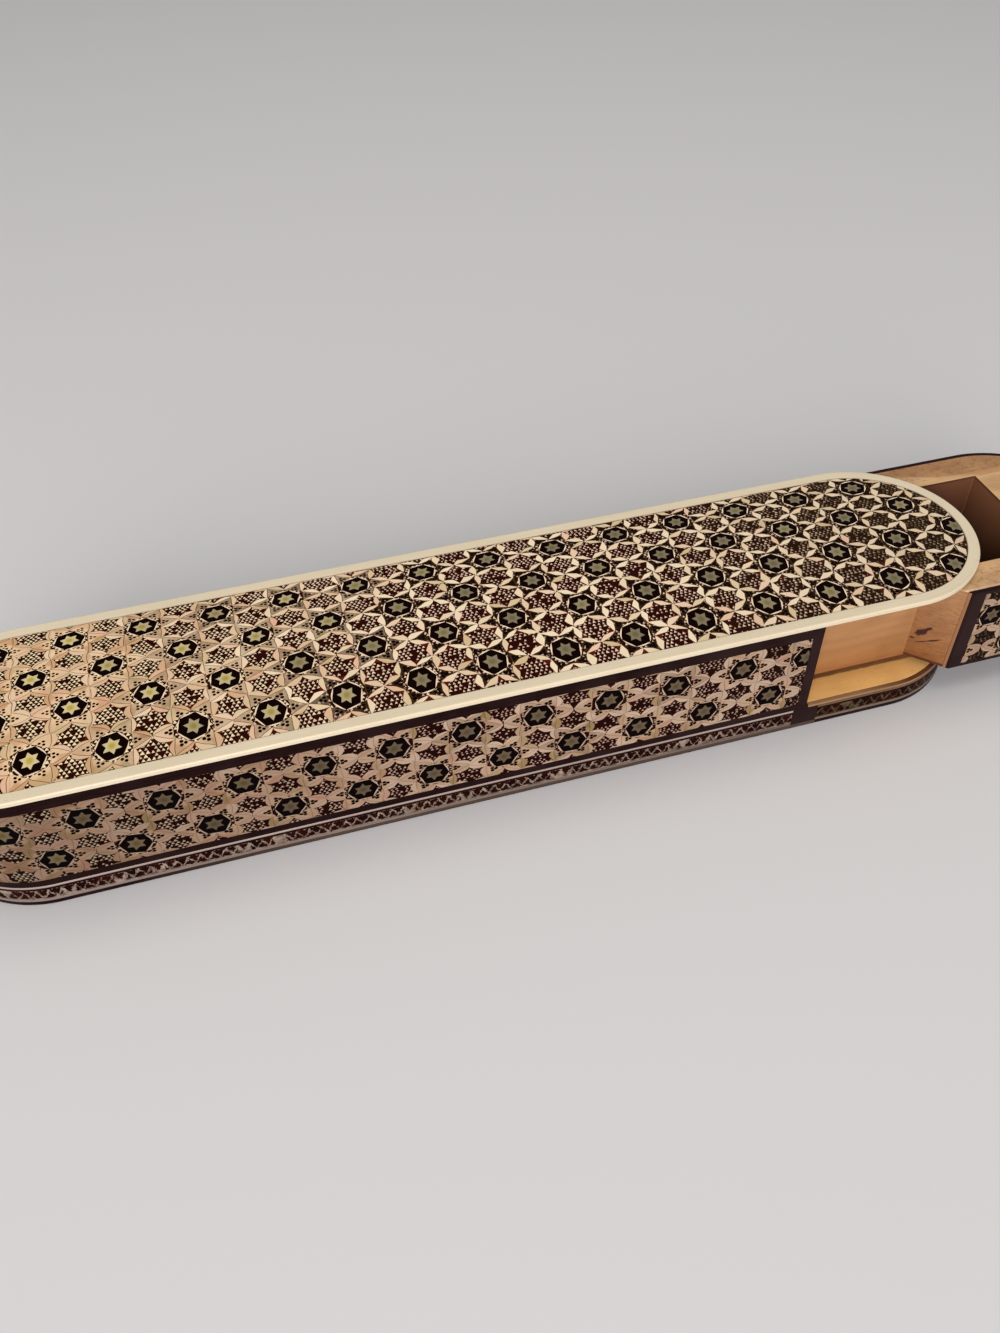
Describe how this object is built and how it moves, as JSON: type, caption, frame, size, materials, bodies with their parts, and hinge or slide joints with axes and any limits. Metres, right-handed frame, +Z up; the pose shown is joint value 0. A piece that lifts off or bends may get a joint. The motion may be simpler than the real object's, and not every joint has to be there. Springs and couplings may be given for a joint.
{
  "type": "pencil box",
  "caption": "Long round-ended wooden pencil box in star marquetry: a sleeve closed at one end, with a tray that slides out of the other.",
  "frame": {"origin": "middle of the sleeve's underside", "axes": "+X along the box towards the mouth that the tray comes out of, +Y towards the back, +Z up; stored with the tray pulled out 32.4 mm, as in the picture"},
  "size_m": [0.2507, 0.045, 0.0302],
  "materials": {
    "star_marquetry": "lacquered star marquetry of cream, brass-coloured, red and black pieces",
    "band_marquetry": "lacquered narrow band of small dark triangles on cream",
    "cream_edging": "polished cream edging, bone or its substitute",
    "dark_wood": "lacquered dark strips",
    "bare_wood": "sanded bare wood"
  },
  "bodies": {
    "sleeve": {"base_plate": "dark_wood", "bottom_board": "bare_wood", "foot_lower_line_long": "cream_edging", "foot_lower_line_mouth": "cream_edging", "foot_marquetry_band_long": "band_marquetry", "foot_marquetry_band_mouth": "band_marquetry", "foot_upper_line_long": "cream_edging", "foot_upper_line_mouth": "cream_edging", "foot_rim_long": "dark_wood", "foot_rim_mouth": "bare_wood", "front_wall": "bare_wood", "front_lower_border": "dark_wood", "front_marquetry": "star_marquetry", "front_upper_border": "dark_wood", "front_end_strip": "dark_wood", "front_foot_block": "dark_wood", "back_wall": "bare_wood", "back_lower_border": "dark_wood", "back_marquetry": "star_marquetry", "back_upper_border": "dark_wood", "back_end_strip": "dark_wood", "back_foot_block": "dark_wood", "closed_end_block": "bare_wood", "closed_end_lower_border": "dark_wood", "closed_end_marquetry": "star_marquetry", "closed_end_upper_border": "dark_wood", "lid_board": "bare_wood", "lid_marquetry": "star_marquetry", "lid_moulding": "cream_edging"},
    "tray": {"tray_floor": "bare_wood", "tray_inner_end": "bare_wood", "tray_nose_block": "bare_wood", "tray_front_wall": "bare_wood", "tray_back_wall": "bare_wood", "tray_front_filler": "bare_wood", "tray_back_filler": "bare_wood", "nose_lower_border": "dark_wood", "nose_upper_border": "dark_wood", "nose_end_marquetry": "star_marquetry", "nose_front_marquetry": "star_marquetry", "nose_back_marquetry": "star_marquetry", "nose_front_strip": "dark_wood", "nose_back_strip": "dark_wood"}
  },
  "joints": [
    {"name": "tray_slide", "type": "slide", "parent": "sleeve", "child": "tray", "axis": [1, 0, 0], "range_m": [-0.0324, 0.1]}
  ]
}
